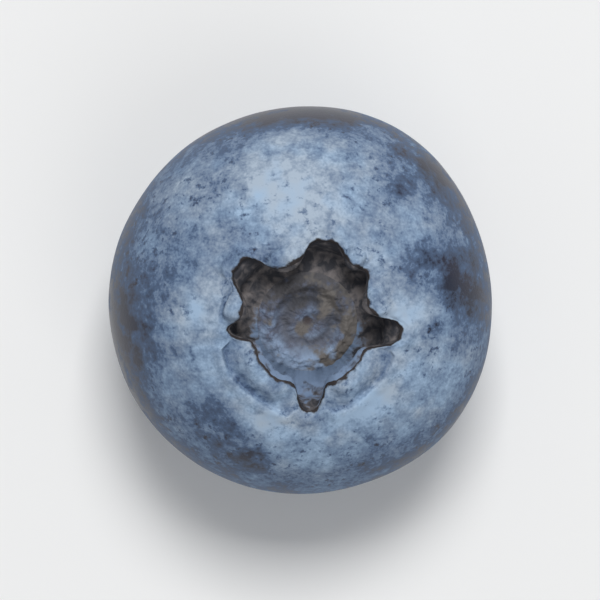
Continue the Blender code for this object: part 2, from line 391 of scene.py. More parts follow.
    def rim(self, angle: float) -> list[Place]:
        """Draw the meridian over a lobe, or between two, and down into the cup.

        Args:
            angle: angle round the crown.

        Returns:
            The places from the crown's foot to the groove round the disc.
        """
        index, across = self.lobe_at(angle)
        lobe = self.lobes[index]
        reach = self.reach(angle)
        middle = 1.0 - abs(2.0 * across - 1.0)
        swell = smoothstep(middle / self.shoulder)
        behind = smoothstep(middle / self.crease_end)
        waver = uneven(angle, self.cup_radius, self.crest_grain, Seed.CREST) * self.ragged
        crest = mix(reach + self.cleft_rim, lobe.tip_reach + self.lobe_breadth, swell)
        top = mix(self.rim_height, lobe.height, swell) + waver
        brow = top - self.lobe_droop
        thickness = mix(self.rim_thickness, self.lobe_thickness, swell)
        shelf = mix(self.rim_height, self.fold_height, behind)
        valley = mix(self.rim_height, self.fold_height + self.fold_rise - lobe.crease, behind)
        flank = mix(self.rim_height, lobe.height * self.flank_share, swell)
        flank_radius = crest + mix(self.cleft_crest, self.flank_width, swell)
        cup, disc, foot, groove = self.cup_radius, self.disc_radius, self.foot_radius, self.groove_height
        fold = mix(reach + self.cleft_rim * 2.0, self.fold_radius, behind) + waver
        # In the crease behind a lobe the bloom is taken away: painted shade, partly worn bloom.
        bare = behind * lobe.crease / MM * self.crease_shade_and_wear
        skin, dried = Tissue.SKIN, Tissue.DRIED_CALYX
        # Each row: radius, height, tissue, share of the crumpling, and share of the bloom that is missing,
        # which in the crease paints shade (partly worn bloom) and outside it adds bloom
        outline = [
            (foot, 0.0, skin, 0.0, -bare * 0.4),
            (mix(foot, fold, self.foot_place), self.foot_swell, skin, 0.2, -bare * 1.2),
            (fold + self.fold_width, shelf, skin, 0.3, -bare * 0.6),
            (fold, valley, skin, 0.4, bare * 1.6),
            (flank_radius, flank, skin, 0.3, 0.0),
            (crest, top, skin, 0.3, bare * 0.2 - self.crest_bloom),
            (mix(crest, reach, self.brow_place), brow, skin, 0.4, bare * 0.5 - self.crest_bloom),
            (reach, brow - thickness * self.edge_share, dried, 0.6, 0.0),
            (mix(reach, cup, self.roof_place), top - thickness, dried, 0.8, 0.0),
            (cup, groove * self.wall_top_share, dried, 1.0, 0.0),
            (cup - self.cup_draft, groove * self.wall_foot_share, dried, 1.0, 0.0),
            (mix(cup, disc, self.groove_place), groove, dried, 0.8, 0.0),
        ]
        level = self.wall.shoulder_height(foot)
        return rounded([Place(radius, level + height, tissue, self.crumple * crumple, bare)
                        for radius, height, tissue, crumple, bare in outline], self.steps)

    def bowl(self) -> list[Place]:
        """Draw the disc, with the ring and the pit that the style left.

        Returns:
            The places from the disc's edge to the pit.
        """
        level = self.wall.shoulder_height(self.foot_radius) + self.disc_height
        dried, disc = Tissue.DRIED_CALYX, Tissue.DISC
        # Each row: radius, height over the disc's level, tissue, and share of the crumpling
        outline = [
            (self.disc_radius, -self.disc_edge_drop, dried, 0.6),
            (self.disc_radius - self.disc_edge, 0.0, disc, 0.6),
            (self.disc_ridge, self.disc_ridge_rise, disc, 0.8),
            (mix(self.disc_ridge, self.ring_radius, self.hollow_place), -self.disc_hollow, disc, 0.8),
            (self.ring_radius, -self.ring_depth, disc, 0.6),
            (self.pit_radius, -self.disc_hollow, disc, 0.3),
            (self.pit_radius * self.pit_taper, -self.pit_depth, disc, 0.2),
            (self.pit_radius * self.pit_end_radius, -self.pit_depth * self.pit_end_depth, disc, 0.0),
        ]
        return rounded([Place(radius, level + height, tissue, self.crumple * crumple)
                        for radius, height, tissue, crumple in outline], self.steps)


@dataclass(frozen=True)
class BloomPatch:
    """A patch where the bloom is thicker or thinner than elsewhere; some patches stand for painted shade or
    painted light.

    Attributes:
        angle: where the patch lies round the berry.
        latitude: how many degrees over the equator it lies.
        size: how far it reaches.
        shift: what it adds to the bloom's thickness, where 1 is the thickest bloom.
    """

    angle: float
    latitude: float
    size: float
    shift: float

    def shift_at(self, direction: Vector, radius: float) -> float:
        """Give what the patch adds to the bloom in a direction from the berry's middle.

        Args:
            direction: a direction of length one.
            radius: of the berry.

        Returns:
            The change in thickness.
        """
        middle = on_circle(self.angle) * math.cos(math.radians(self.latitude))
        middle.z = math.sin(math.radians(self.latitude))
        return self.shift * smoothstep(1.0 - (direction - middle).length * radius / self.size)


@dataclass(frozen=True)
class Growth:
    """What makes this berry differ from a perfect one: its lean, its outline, and its soft lumps."""

    wall: FruitWall
    crown: Crown
    lean_angle: float = math.radians(11.0)
    lean_towards: float = math.radians(-73.0)
    lean_foot: float = 1.0 * MM
    outline_waves: tuple[tuple[int, float, float], ...] = (
        (2, 0.006, math.radians(76.0)),
        (3, 0.008, math.radians(-42.0)),
        (4, 0.006, math.radians(-30.0)),
    )
    lumps: tuple[tuple[float, float], ...] = ((5.0 * MM, 0.10 * MM), (1.8 * MM, 0.022 * MM))
    lumps_foot: float = 0.1 * MM
    lumps_full: float = 2.0 * MM
    pucker: float = 0.035 * MM
    pucker_grain: float = 0.6 * MM
    pucker_end: float = 6.2 * MM
    crumple_grain: float = 0.28 * MM
    crumple_fade: float = 0.8
    crumple_octaves: int = 3
    crumple_gain: float = 2.0
    waist_edge: float = 1.5
    waist_latitude: float = 24.0
    # Thinner bloom round the waist darkens the rims: partly rubbed bloom, partly painted shade.
    waist_wear_and_shade: float = -0.22
    patches: tuple[BloomPatch, ...] = (
        # The next two patches brighten the zone above the crown: partly thicker bloom, partly painted light.
        BloomPatch(94.0, 52.0, 4.0 * MM, 0.44),
        BloomPatch(84.0, 66.0, 2.5 * MM, 0.20),
        BloomPatch(190.0, 51.0, 1.8 * MM, 0.28),
        # Painted shade: thinner bloom darkens the left side.
        BloomPatch(185.0, 30.0, 3.4 * MM, -0.26),
        BloomPatch(16.0, 50.0, 1.2 * MM, -0.28),
        BloomPatch(352.0, 54.0, 1.4 * MM, 0.28),
        BloomPatch(45.0, 63.0, 1.0 * MM, 0.20),
        BloomPatch(341.0, 19.0, 2.2 * MM, 0.25),
        BloomPatch(322.0, 30.0, 3.4 * MM, 0.25),
        BloomPatch(308.0, 47.0, 2.0 * MM, 0.30),
        BloomPatch(256.0, 47.0, 1.7 * MM, 0.30),
        # Painted light: thicker bloom brightens the skin below the crown.
        BloomPatch(275.0, 40.0, 5.0 * MM, 0.15),
        BloomPatch(350.0, 48.0, 3.0 * MM, 0.12),
        BloomPatch(48.5, 38.0, 1.0 * MM, -0.35),
        BloomPatch(46.0, 20.0, 3.0 * MM, -0.30),
        BloomPatch(16.0, 40.0, 1.7 * MM, -0.28),
        BloomPatch(3.0, 30.0, 2.3 * MM, -0.45),
        BloomPatch(236.0, 34.0, 2.1 * MM, -0.38),
        BloomPatch(251.5, 29.5, 1.8 * MM, -0.60),
        BloomPatch(80.0, 18.0, 1.8 * MM, -0.35),
        BloomPatch(90.0, 14.0, 3.6 * MM, -0.35),
        BloomPatch(347.0, 42.0, 0.9 * MM, -0.25),
        # Painted shade: the next three patches thin the bloom to darken the left and top rims.
        BloomPatch(190.0, 10.0, 4.5 * MM, -0.38),
        BloomPatch(95.0, 5.0, 4.5 * MM, -0.40),
        BloomPatch(120.0, -8.0, 3.2 * MM, -0.25),
        BloomPatch(300.0, -5.0, 2.8 * MM, -0.40),
        BloomPatch(20.0, -36.0, 3.0 * MM, -0.40),
        BloomPatch(210.0, -40.0, 3.4 * MM, -0.40),
    )

    def lump(self, point: Vector) -> float:
        """Give how far the skin swells or dips at a point of the even fruit."""
        return sum(size * noise.noise(point / grain) for grain, size in self.lumps)

    def pucker_at(self, place: Place, angle: float) -> float:
        """Give the height of the fine pleats that run down from the crown."""
        top, end = self.crown.foot_radius, self.pucker_end
        if place.height < self.wall.equator_height or place.radius < top:
            return 0.0
        fade = 1.0 - smoothstep((place.radius - top) / (end - top))
        return self.pucker * fade * uneven(angle, top, self.pucker_grain, Seed.PLEATS)

    def lean(self, point: Vector) -> Vector:
        """Bend the fruit over a little: its foot stays level and its crown turns.

        Args:
            point: a point of the upright fruit.

        Returns:
            The same point of the leaning fruit.
        """
        crown_height = self.wall.shoulder_height(self.crown.foot_radius)
        share = smoothstep((point.z - self.lean_foot) / (crown_height - self.lean_foot))
        hinge = Vector((-math.sin(self.lean_towards), math.cos(self.lean_towards), 0.0))
        middle = Vector((0.0, 0.0, self.wall.equator_height))
        return middle + Matrix.Rotation(self.lean_angle * share, 3, hinge) @ (point - middle)

    def grown(self, place: Place, angle: float) -> Vector:
        """Turn a place on a meridian into a point of the uneven, leaning fruit.

        Args:
            place: the place on the meridian.
            angle: the meridian's angle.

        Returns:
            The point in the frame, before the outline is centred.
        """
        turn = math.radians(angle)
        waves = sum(share * math.cos(count * (turn - peak)) for count, share, peak in self.outline_waves)
        radius = place.radius * (1.0 + waves * (place.radius / self.wall.radius) ** 2)
        point = on_circle(angle) * radius + Vector((0.0, 0.0, place.height))
        outward = (point - Vector((0.0, 0.0, self.wall.equator_height))).normalized()
        clear = smoothstep((place.height - self.lumps_foot) / (self.lumps_full - self.lumps_foot))
        swelling = clear * (self.lump(point) + self.pucker_at(place, angle))
        wrinkle = noise.fractal(point / self.crumple_grain, self.crumple_fade, 2.0, self.crumple_octaves)
        swelling += place.crumple * wrinkle * self.crumple_gain
        return self.lean(point + outward * swelling)

    def bloom_and_shade_shift(self, place: Place, point: Vector) -> float:
        """Tell how much thicker or thinner the bloom is than elsewhere, painted shade and painted light
        included.

        Args:
            place: the place on the meridian.
            point: the grown point.

        Returns:
            The change in thickness, where 1 is the thickest bloom.
        """
        direction = (point - Vector((0.0, 0.0, self.wall.equator_height))).normalized()
        latitude = math.degrees(math.asin(direction.z))
        # The waist's thinner bloom paints shade on the rims, as well as rubbed bloom.
        waist = self.waist_wear_and_shade * smoothstep(self.waist_edge - abs(latitude) / self.waist_latitude)
        patches = sum(patch.shift_at(direction, self.wall.radius) for patch in self.patches)
        return waist + patches - place.bare


def linear(hex_colour: str) -> tuple[float, float, float, float]:
    """Turn an sRGB hex colour to linear light.

    Args:
        hex_colour: six hex digits.

    Returns:
        Linear red, green and blue, with full alpha.
    """
    parts = [int(hex_colour[start:start + 2], 16) / 255.0 for start in (0, 2, 4)]
    red, green, blue = [part / 12.92 if part <= 0.04045 else ((part + 0.055) / 1.055) ** 2.4
                        for part in parts]
    return red, green, blue, 1.0


def per_metre(size_mm: float) -> float:
    """Give the scale at which a pattern texture repeats once in a size in millimetres."""
    return 1.0 / (size_mm * MM)


def slope(drift: tuple[float, float]) -> tuple[float, float, float]:
    """Turn what a value gains in each millimetre along X and along Y to what it gains in a metre."""
    return drift[0] / MM, drift[1] / MM, 0.0


class Span(NamedTuple):
    """The two values between which a pattern goes from none to full strength."""

    none: float
    full: float

    def sockets(self) -> dict[str, float]:
        """Give the two values by the names of the sockets that take them."""
        return {"From Min": self.none, "From Max": self.full}


def add_node(tree: bpy.types.NodeTree, kind: str, sockets: dict[str | int, Any] | None = None,
             output: str | int = 0, **settings: Any) -> bpy.types.NodeSocket:
    """Add a node with its settings and links.

    Args:
        tree: the tree that gets the node.
        kind: the node's type.
        sockets: for each input, by name or number, a constant or the output that feeds it.
        output: which output the caller goes on with.
        settings: the node's own options.

    Returns:
        That output.
    """
    node = tree.nodes.new(kind)
    for name, value in settings.items():
        setattr(node, name, value)
    for socket, value in (sockets or {}).items():
        if isinstance(value, bpy.types.NodeSocket):
            tree.links.new(value, node.inputs[socket])
        else:
            node.inputs[socket].default_value = value
    return node.outputs[output]


FACTOR, COLOUR_A, COLOUR_B, MIXED = 0, 6, 7, 2


def start_material(
        name: str, ior: float) -> tuple[bpy.types.Material, bpy.types.NodeTree, bpy.types.Node]:
    """Start a material.

    Args:
        name: the finish.
        ior: index of refraction of its surface.

    Returns:
        The material, its tree and its shader.
    """
    material = bpy.data.materials.new(name)
    material.use_nodes = True
    shader = material.node_tree.nodes["Principled BSDF"]
    shader.inputs["IOR"].default_value = ior
    return material, material.node_tree, shader


class Cloud(NamedTuple):
    """One layer of cloudiness in the bloom: its size, how far it sways, and its distortion."""

    size_mm: float
    sway: float
    distortion: float


@dataclass(frozen=True)
class BloomedSkin:
    """Ripe fruit skin, grown under its own bloom of plant wax.

    The skin is dark indigo and a little glossy. The wax on it is a matt, pale blue dust that is thick in some
    places and thin or rubbed off in others, so the eye sees a cloudy blue with dark flecks, a little greyer
    towards +Y. The real grains of wax are a few thousandths of a millimetre, so the grain here is drawn
    coarser to show.
    """

    bare: str = "1E2538"
    bare_warm: str = "27293A"
    thin_bloom: str = "516786"
    thick_bloom: str = "9DB6D0"
    grey_bloom: str = "A5B4C4"
    grey_drift: tuple[float, float] = (0.0, 0.012)
    dried_edge: str = "302B2B"
    ior: float = 1.45
    bare_roughness: float = 0.36
    bloom_roughness: float = 0.82
    mean_bloom: float = 0.58
    clouds: tuple[Cloud, ...] = (
        Cloud(5.0, 0.50, 0.4),
        Cloud(1.7, 0.36, 0.8),
        Cloud(0.70, 0.58, 0.5),
        Cloud(0.25, 0.55, 0.2),
        Cloud(0.10, 0.40, 0.0),
    )
    streak_sway: float = 0.45
    streaks: tuple[float, float, float] = (5.0, 5.0, 0.45)
    patchy_mm: float = 0.8
    patchy_span: Span = Span(0.32, 0.62)
    patchy_share: tuple[float, float] = (0.5, 1.3)
    blotch_mm: float = 0.35
    blotch_span: Span = Span(0.56, 0.70)
    blotch_bed_mm: float = 2.4
    blotch_bed_span: Span = Span(0.42, 0.60)
    blotch_depth: tuple[float, float] = (0.1, 0.5)
    hue_mm: float = 1.3
    hue_span: Span = Span(0.38, 0.62)
    thin_span: Span = Span(0.05, 0.45)
    thick_span: Span = Span(0.40, 0.95)
    gloss_span: Span = Span(0.1, 0.6)
    grain_mm: float = 0.11
    grain_bloom: float = 0.6
    grain_height: float = 0.008 * MM
    margin_grain_mm: float = 0.45
    margin_sway: float = 0.5
    margin_span: Span = Span(0.05, 0.13)

    def material(self) -> bpy.types.Material:
        """Build the material.

        Returns:
            Skin with its bloom, and the dried margin of the calyx lobes.
        """
        material, tree, shader = start_material("bloomed_skin", self.ior)
        place = add_node(tree, "ShaderNodeTexCoord", output="Object")
        bloom = self.bloom(tree, place)
        dried = self.dried(tree, place)
        colour = self.colour(tree, place, bloom)
        colour = add_node(tree, "ShaderNodeMix", {
            FACTOR: dried, COLOUR_A: colour, COLOUR_B: linear(self.dried_edge)}, MIXED, data_type="RGBA")
        gloss = add_node(tree, "ShaderNodeMapRange", {
            "Value": bloom, **self.gloss_span.sockets(),
            "To Min": self.bare_roughness, "To Max": self.bloom_roughness})
        tree.links.new(colour, shader.inputs["Base Color"])
        tree.links.new(gloss, shader.inputs["Roughness"])
        tree.links.new(self.relief(tree, place, bloom), shader.inputs["Normal"])
        return material

    def bloom(self, tree: bpy.types.NodeTree, place: bpy.types.NodeSocket) -> bpy.types.NodeSocket:
        """Add up how thick the bloom is, painted shade and painted light included.

        Args:
            tree: the material's tree.
            place: object coordinates.

        Returns:
            The thickness, from 0 for bare skin to 1.
        """
        swing = (self.streak_sway + sum(cloud.sway for cloud in self.clouds)) / 2.0
        spoke = add_node(tree, "ShaderNodeAttribute", output="Vector", attribute_name=Paint.SPOKE.value)
        spoke = add_node(tree, "ShaderNodeVectorMath", {0: spoke, 1: self.streaks}, operation="MULTIPLY")
        streaks = add_node(tree, "ShaderNodeTexNoise", {"Vector": spoke, "Scale": 1.0, "Detail": 3.0})
        thickness: Any = add_node(tree, "ShaderNodeMath", {
            0: streaks, 1: self.streak_sway, 2: self.mean_bloom - swing}, operation="MULTIPLY_ADD")
        for cloud in self.clouds:
            puffs = add_node(tree, "ShaderNodeTexNoise", {
                "Vector": place, "Scale": per_metre(cloud.size_mm), "Detail": 2.0,
                "Roughness": 0.55, "Distortion": cloud.distortion})
            thickness = add_node(tree, "ShaderNodeMath", {0: puffs, 1: cloud.sway, 2: thickness},
                                 operation="MULTIPLY_ADD")
        # The sheet's bloom value carries painted shade on the rims and in the crease, and painted light round
        # the crown.
        shift = add_node(tree, "ShaderNodeAttribute", output="Fac", attribute_name=Paint.BLOOM_AND_SHADE.value)
        patchy = add_node(tree, "ShaderNodeTexNoise", {
            "Vector": place, "Scale": per_metre(self.patchy_mm), "Detail": 3.0})
        patchy = add_node(tree, "ShaderNodeMapRange", {
            "Value": patchy, **self.patchy_span.sockets(),
            "To Min": self.patchy_share[0], "To Max": self.patchy_share[1]})
        thickness = add_node(tree, "ShaderNodeMath", {0: shift, 1: patchy, 2: thickness},
                             operation="MULTIPLY_ADD")
        blotches = add_node(tree, "ShaderNodeTexNoise", {
            "Vector": place, "Scale": per_metre(self.blotch_mm), "Detail": 4.0, "Roughness": 0.65})
        blotches = add_node(tree, "ShaderNodeMapRange", {"Value": blotches, **self.blotch_span.sockets()})
        beds = add_node(tree, "ShaderNodeTexNoise", {
            "Vector": place, "Scale": per_metre(self.blotch_bed_mm), "Detail": 1.0})
        beds = add_node(tree, "ShaderNodeMapRange", {
            "Value": beds, **self.blotch_bed_span.sockets(),
            "To Min": self.blotch_depth[0], "To Max": self.blotch_depth[1]})
        missing = add_node(tree, "ShaderNodeMath", {0: blotches, 1: beds}, operation="MULTIPLY")
        return add_node(tree, "ShaderNodeMath", {0: thickness, 1: missing}, operation="SUBTRACT",
                        use_clamp=True)

    def colour(self, tree: bpy.types.NodeTree, place: bpy.types.NodeSocket,
               bloom: bpy.types.NodeSocket) -> bpy.types.NodeSocket:
        """Colour the skin by how thick its bloom is.

        Args:
            tree: the material's tree.
            place: object coordinates.
            bloom: the bloom's thickness.

        Returns:
            The colour.
        """
        hue = add_node(tree, "ShaderNodeTexNoise", {
            "Vector": place, "Scale": per_metre(self.hue_mm), "Detail": 2.0})
        drift = add_node(tree, "ShaderNodeVectorMath", {0: place, 1: slope(self.grey_drift)}, "Value",
                         operation="DOT_PRODUCT")
        hue = add_node(tree, "ShaderNodeMath", {0: hue, 1: drift})
        hue = add_node(tree, "ShaderNodeMapRange", {"Value": hue, **self.hue_span.sockets()})
        bare = add_node(tree, "ShaderNodeMix", {
            FACTOR: hue, COLOUR_A: linear(self.bare), COLOUR_B: linear(self.bare_warm)}, MIXED,
            data_type="RGBA")
        dust = add_node(tree, "ShaderNodeMix", {
            FACTOR: hue, COLOUR_A: linear(self.thick_bloom), COLOUR_B: linear(self.grey_bloom)}, MIXED,
            data_type="RGBA")
        thin = add_node(tree, "ShaderNodeMapRange", {"Value": bloom, **self.thin_span.sockets()})
        thick = add_node(tree, "ShaderNodeMapRange", {"Value": bloom, **self.thick_span.sockets()})
        colour = add_node(tree, "ShaderNodeMix", {
            FACTOR: thin, COLOUR_A: bare, COLOUR_B: linear(self.thin_bloom)}, MIXED, data_type="RGBA")
        return add_node(tree, "ShaderNodeMix", {
            FACTOR: thick, COLOUR_A: colour, COLOUR_B: dust}, MIXED, data_type="RGBA")

    def dried(self, tree: bpy.types.NodeTree, place: bpy.types.NodeSocket) -> bpy.types.NodeSocket:
        """Find the dried margin along the edge of the lobes.

        Args:
            tree: the material's tree.
            place: object coordinates.

        Returns:
            1 on the margin and 0 away from it.
        """
        margin = add_node(tree, "ShaderNodeAttribute", output="Fac", attribute_name=Paint.MARGIN.value)
        sway = add_node(tree, "ShaderNodeTexNoise", {
            "Vector": place, "Scale": per_metre(self.margin_grain_mm), "Detail": 3.0})
        edge = add_node(tree, "ShaderNodeMath", {0: sway, 1: self.margin_sway, 2: margin},
                        operation="MULTIPLY_ADD")
        return add_node(tree, "ShaderNodeMapRange", {"Value": edge, **self.margin_span.sockets()})

    def relief(self, tree: bpy.types.NodeTree, place: bpy.types.NodeSocket,
               bloom: bpy.types.NodeSocket) -> bpy.types.NodeSocket:
        """Raise the grains of wax.

        Args:
            tree: the material's tree.
            place: object coordinates.
            bloom: the bloom's thickness.

        Returns:
            The bumped normal.
        """
        grains = add_node(tree, "ShaderNodeTexNoise", {
            "Vector": place, "Scale": per_metre(self.grain_mm), "Detail": 3.0, "Roughness": 0.6})
        height = add_node(tree, "ShaderNodeMath", {0: bloom, 1: self.grain_bloom, 2: grains},
                          operation="MULTIPLY_ADD")
        return add_node(tree, "ShaderNodeBump", {
            "Strength": 1.0, "Distance": self.grain_height, "Height": height})


@dataclass(frozen=True)
class DriedCalyx:
    """The inner side of the calyx, dried to grey-brown paper.

    It is matt. It darkens towards the clefts' outer ends and towards +Y: partly dark dried tissue, partly
    painted shade. Close to the disc on the -Y side it is greyer: partly bloom left on it, partly painted
    light.
    """

    # Darkest colour: dried tissue in painted shade.
    dried_and_shade_dark: str = "38393F"
    brown: str = "6F6A6A"
    grey: str = "7286A2"
    ior: float = 1.45
    roughness: float = 0.85
    blotch_mm: float = 0.4
    # Darker towards +Y and towards the clefts' outer ends: partly dried tissue, partly painted shade.
    brown_and_shade_drift: tuple[float, float, float] = (-0.01, -0.03, -0.08)
    brown_span: Span = Span(0.19, 0.43)
    # Greyer towards -Y and near the disc: partly bloom left on it, partly painted light.
    grey_drift: tuple[float, float, float] = (-0.02, -0.36, -0.38)
    grey_span: Span = Span(-0.30, -0.12)
    fibre_mm: float = 0.09
    fibre_height: float = 0.012 * MM

    def material(self) -> bpy.types.Material:
        """Build the material.

        Returns:
            Dried calyx tissue.
        """
        material, tree, shader = start_material("dried_calyx", self.ior)
        place = add_node(tree, "ShaderNodeTexCoord", output="Object")
        blotches = add_node(tree, "ShaderNodeTexNoise", {
            "Vector": place, "Scale": per_metre(self.blotch_mm), "Detail": 4.0, "Distortion": 0.5})
        spoke = add_node(tree, "ShaderNodeAttribute", output="Vector", attribute_name=Paint.SPOKE.value)
        # Painted shade: darker towards +Y and towards the clefts' outer ends.
        drift = add_node(tree, "ShaderNodeVectorMath", {0: spoke, 1: self.brown_and_shade_drift}, "Value",
                         operation="DOT_PRODUCT")
        brown = add_node(tree, "ShaderNodeMath", {0: blotches, 1: drift})
        brown = add_node(tree, "ShaderNodeMapRange", {"Value": brown, **self.brown_span.sockets()})
        # Painted light: greyer towards -Y and near the disc, as well as left-over bloom.
        drift = add_node(tree, "ShaderNodeVectorMath", {0: spoke, 1: self.grey_drift}, "Value",
                         operation="DOT_PRODUCT")
        grey = add_node(tree, "ShaderNodeMath", {0: blotches, 1: drift})
        grey = add_node(tree, "ShaderNodeMapRange", {"Value": grey, **self.grey_span.sockets()})
        colour = add_node(tree, "ShaderNodeMix", {
            FACTOR: brown, COLOUR_A: linear(self.dried_and_shade_dark), COLOUR_B: linear(self.brown)}, MIXED,
            data_type="RGBA")
        colour = add_node(tree, "ShaderNodeMix", {
            FACTOR: grey, COLOUR_A: colour, COLOUR_B: linear(self.grey)}, MIXED, data_type="RGBA")
        fibres = add_node(tree, "ShaderNodeTexNoise", {
            "Vector": place, "Scale": per_metre(self.fibre_mm), "Detail": 3.0})
        relief = add_node(tree, "ShaderNodeBump", {
            "Strength": 1.0, "Distance": self.fibre_height, "Height": fibres})
        shader.inputs["Roughness"].default_value = self.roughness
        tree.links.new(colour, shader.inputs["Base Color"])
        tree.links.new(relief, shader.inputs["Normal"])
        return material


@dataclass(frozen=True)
class WaxyDisc:
    """The disc in the cup: matt lavender grey tissue with patches of bloom, and fine wrinkles like spokes.

    The bloom thickens towards -Y, and the +Y side turns a dull brown grey: partly stain, partly painted
    shade. Tan patches grow more common towards +X. A stained ring runs round the middle; a painted shadow
    darkens it towards +Y.
    """

    lavender: str = "5B6377"
    bloom: str = "8599B4"
    brown: str = "504F53"
    tan: str = "66625F"
    ring_light: str = "5C5F6A"
    # The ring's colour on its +Y side is a painted shadow.
    ring_shadow: str = "2C2D32"
    pit: str = "4A4345"
    ior: float = 1.45
    roughness: float = 0.75
    ring_mm: float = 0.85
    ring_shadow_side: tuple[float, float, float] = (0.35, 0.90, 0.0)
    ring_side_span: Span = Span(-1.0, 1.0)
    ring_sway: float = 0.7
    ring_span: Span = Span(0.55, 0.05)
    ring_strength: float = 0.85
    patch_mm: float = 0.6
    # Stain towards +Y and bloom towards -Y: partly real, partly painted shade on the +Y side.
    stain_and_shade_drift: tuple[float, float] = (0.0, -0.13)
    bloom_span: Span = Span(0.60, 0.82)
    stain_and_shade_span: Span = Span(0.62, 0.46)
    tan_mm: float = 0.8
    tan_drift: tuple[float, float] = (0.08, -0.01)
    tan_span: Span = Span(0.56, 0.66)
    pit_span: Span = Span(0.22, 0.10)
    spokes: float = 9.0
    spoke_height: float = 0.03 * MM

    def material(self) -> bpy.types.Material:
        """Build the material.

        Returns:
            The disc with its stained middle.
        """
        material, tree, shader = start_material("waxy_disc", self.ior)
        place = add_node(tree, "ShaderNodeTexCoord", output="Object")
        spoke = add_node(tree, "ShaderNodeAttribute", output="Vector", attribute_name=Paint.SPOKE.value)
        out = add_node(tree, "ShaderNodeSeparateXYZ", {0: spoke}, "Z")
        patches = add_node(tree, "ShaderNodeTexNoise", {
            "Vector": place, "Scale": per_metre(self.patch_mm), "Detail": 5.0, "Roughness": 0.65})
        # Painted shade: the drift darkens the disc towards +Y, on top of real stain.
        drift = add_node(tree, "ShaderNodeVectorMath", {0: place, 1: slope(self.stain_and_shade_drift)}, "Value",
                         operation="DOT_PRODUCT")
        patches = add_node(tree, "ShaderNodeMath", {0: patches, 1: drift})
        bloom = add_node(tree, "ShaderNodeMapRange", {"Value": patches, **self.bloom_span.sockets()})
        stain_and_shade = add_node(tree, "ShaderNodeMapRange", {"Value": patches, **self.stain_and_shade_span.sockets()})
        wrinkles = add_node(tree, "ShaderNodeTexNoise", {
            "Vector": spoke, "Scale": self.spokes, "Detail": 3.0, "Roughness": 0.6})
        colour = add_node(tree, "ShaderNodeMix", {
            FACTOR: bloom, COLOUR_A: linear(self.lavender), COLOUR_B: linear(self.bloom)}, MIXED,
            data_type="RGBA")
        colour = add_node(tree, "ShaderNodeMix", {
            FACTOR: stain_and_shade, COLOUR_A: colour, COLOUR_B: linear(self.brown)}, MIXED, data_type="RGBA")
        drift = add_node(tree, "ShaderNodeVectorMath", {0: place, 1: slope(self.tan_drift)}, "Value",
                         operation="DOT_PRODUCT")
        tan = add_node(tree, "ShaderNodeTexNoise", {
            "Vector": place, "Scale": per_metre(self.tan_mm), "Detail": 3.0})
        ring = add_node(tree, "ShaderNodeMath", {0: tan, 1: self.ring_sway, 2: out},
                        operation="MULTIPLY_ADD")
        tan = add_node(tree, "ShaderNodeMath", {0: tan, 1: drift})
        tan = add_node(tree, "ShaderNodeMapRange", {"Value": tan, **self.tan_span.sockets()})
        ring = add_node(tree, "ShaderNodeMath", {0: ring, 1: self.ring_mm + self.ring_sway / 2.0},
                        operation="SUBTRACT")
        ring = add_node(tree, "ShaderNodeMath", {0: ring}, operation="ABSOLUTE")
        ring = add_node(tree, "ShaderNodeMapRange", {
            "Value": ring, **self.ring_span.sockets(), "To Max": self.ring_strength})
        # Painted shadow: the ring darkens towards +Y.
        side = add_node(tree, "ShaderNodeVectorMath", {0: spoke, 1: self.ring_shadow_side}, "Value",
                        operation="DOT_PRODUCT")
        side = add_node(tree, "ShaderNodeMapRange", {"Value": side, **self.ring_side_span.sockets()})
        ring_stain_and_shadow = add_node(tree, "ShaderNodeMix", {
            FACTOR: side, COLOUR_A: linear(self.ring_light), COLOUR_B: linear(self.ring_shadow)}, MIXED,
            data_type="RGBA")
        colour = add_node(tree, "ShaderNodeMix", {
            FACTOR: ring, COLOUR_A: colour, COLOUR_B: ring_stain_and_shadow}, MIXED, data_type="RGBA")
        colour = add_node(tree, "ShaderNodeMix", {
            FACTOR: tan, COLOUR_A: colour, COLOUR_B: linear(self.tan)}, MIXED, data_type="RGBA")
        hole = add_node(tree, "ShaderNodeMapRange", {"Value": out, **self.pit_span.sockets()})
        colour = add_node(tree, "ShaderNodeMix", {
            FACTOR: hole, COLOUR_A: colour, COLOUR_B: linear(self.pit)}, MIXED, data_type="RGBA")
        relief = add_node(tree, "ShaderNodeBump", {
            "Strength": 1.0, "Distance": self.spoke_height, "Height": wrinkles})
        shader.inputs["Roughness"].default_value = self.roughness
        tree.links.new(colour, shader.inputs["Base Color"])
        tree.links.new(relief, shader.inputs["Normal"])
        return material


@dataclass(frozen=True)
class CorkyScar:
    """The stem scar: torn tissue that dried to a matt tan cork, dark in its cracks."""

    tan: str = "8A7358"
    dark: str = "3A2B21"
    ior: float = 1.45
    roughness: float = 0.9
    dry_span: Span = Span(0.38, 0.62)
    crumb_mm: float = 0.22
    crumb_height: float = 0.05 * MM

    def material(self) -> bpy.types.Material:
        """Build the material.

        Returns:
            Dry cork.
        """
        material, tree, shader = start_material("corky_scar", self.ior)
        place = add_node(tree, "ShaderNodeTexCoord", output="Object")
        crumbs = add_node(tree, "ShaderNodeTexNoise", {
            "Vector": place, "Scale": per_metre(self.crumb_mm), "Detail": 5.0, "Distortion": 0.4})
        dry = add_node(tree, "ShaderNodeMapRange", {"Value": crumbs, **self.dry_span.sockets()})
        colour = add_node(tree, "ShaderNodeMix", {
            FACTOR: dry, COLOUR_A: linear(self.dark), COLOUR_B: linear(self.tan)}, MIXED, data_type="RGBA")
        relief = add_node(tree, "ShaderNodeBump", {
            "Strength": 1.0, "Distance": self.crumb_height, "Height": crumbs})
        shader.inputs["Roughness"].default_value = self.roughness
        tree.links.new(colour, shader.inputs["Base Color"])
        tree.links.new(relief, shader.inputs["Normal"])
        return material


